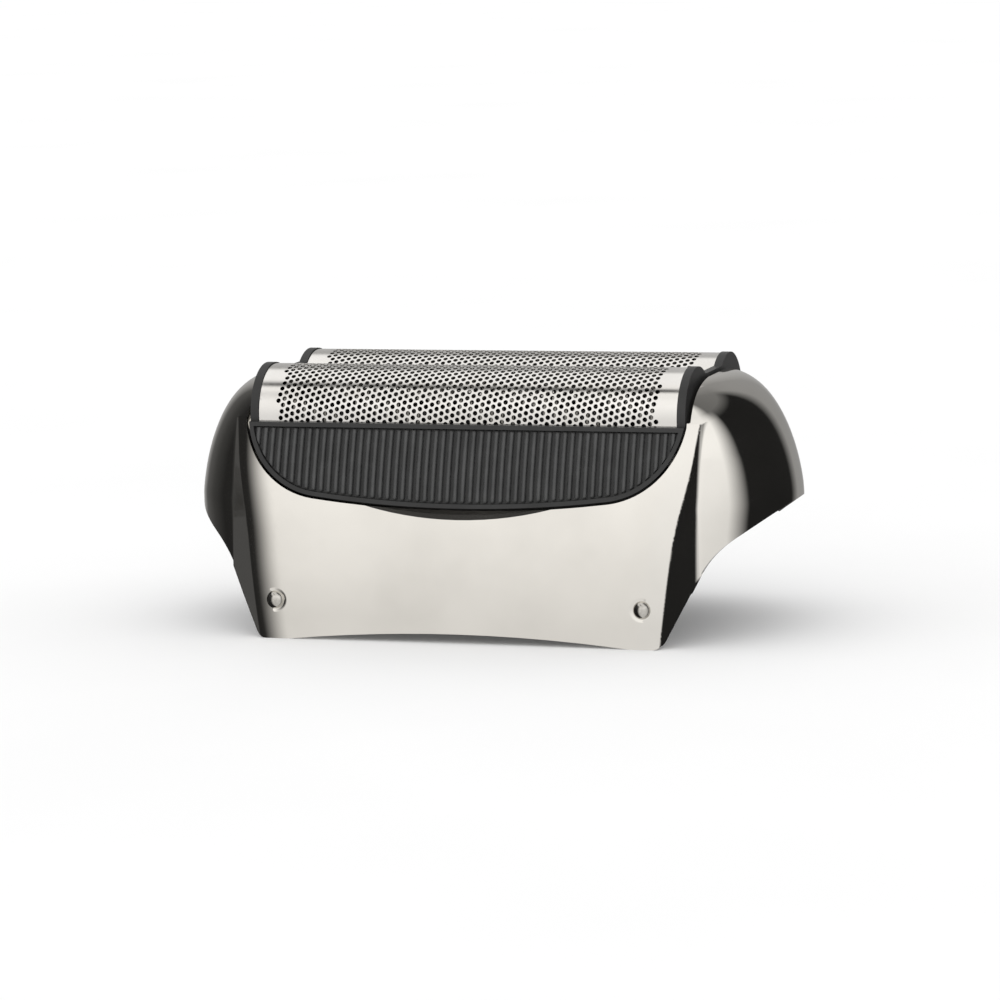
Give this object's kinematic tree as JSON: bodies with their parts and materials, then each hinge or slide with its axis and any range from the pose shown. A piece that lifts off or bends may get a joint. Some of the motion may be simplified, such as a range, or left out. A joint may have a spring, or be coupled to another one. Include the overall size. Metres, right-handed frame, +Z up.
{
  "type": "shaver head",
  "caption": "Twin-foil shaver head: plated winged shell with a lift-out foil cassette on ribbed grips, over sprung oscillating cutters.",
  "frame": {"origin": "centre of the neck socket's mouth, level with the front foot, midway between the two foils and the two ends", "axes": "+X along the foils, -Y to the front panel with the rivets, +Z up to the foils"},
  "size_m": [0.0592, 0.0293, 0.0253],
  "materials": {
    "plated_shell": "bright mirror plating on thin pressed metal",
    "rivet_steel": "polished",
    "spring_steel": "plain spring steel",
    "black_plastic": "satin black moulding",
    "foil_steel": "bright electroformed sheet with small round holes",
    "white_plastic": "natural acetal",
    "grey_plastic": "dark grey moulding",
    "blade_steel": "ground edges"
  },
  "bodies": {
    "shell": {"head_shell": "plated_shell", "shell_rivets": "rivet_steel", "latch_spring": "spring_steel"},
    "cassette": {"foil_frame": "black_plastic", "front_foil": "foil_steel", "rear_foil": "foil_steel", "cutter_retainer": "black_plastic"},
    "front_shoe": {"front_drive_shoe": "white_plastic", "front_spring_left": "spring_steel", "front_spring_right": "spring_steel"},
    "rear_shoe": {"rear_drive_shoe": "white_plastic", "rear_spring_left": "spring_steel", "rear_spring_right": "spring_steel"},
    "front_cutter": {"front_cutter_carrier": "grey_plastic", "front_cutter_blades": "blade_steel"},
    "rear_cutter": {"rear_cutter_carrier": "grey_plastic", "rear_cutter_blades": "blade_steel"}
  },
  "joints": [
    {"name": "foil_cassette_lift", "type": "slide", "parent": "shell", "child": "cassette", "axis": [0, 0, 1], "range_m": [0, 0.017]},
    {"name": "front_cutter_oscillation", "type": "slide", "parent": "cassette", "child": "front_shoe", "axis": [1, 0, 0], "range_m": [-0.0012, 0.0012]},
    {"name": "rear_cutter_oscillation", "type": "slide", "parent": "cassette", "child": "rear_shoe", "axis": [1, 0, 0], "range_m": [-0.0012, 0.0012]},
    {"name": "front_cutter_float", "type": "slide", "parent": "front_shoe", "child": "front_cutter", "axis": [0, 0, 1], "range_m": [-0.001, 0], "stiffness_N_per_m": 120, "springref_m": 0.002, "deforming": ["front_spring_left", "front_spring_right"]},
    {"name": "rear_cutter_float", "type": "slide", "parent": "rear_shoe", "child": "rear_cutter", "axis": [0, 0, 1], "range_m": [-0.001, 0], "stiffness_N_per_m": 120, "springref_m": 0.002, "deforming": ["rear_spring_left", "rear_spring_right"]}
  ]
}
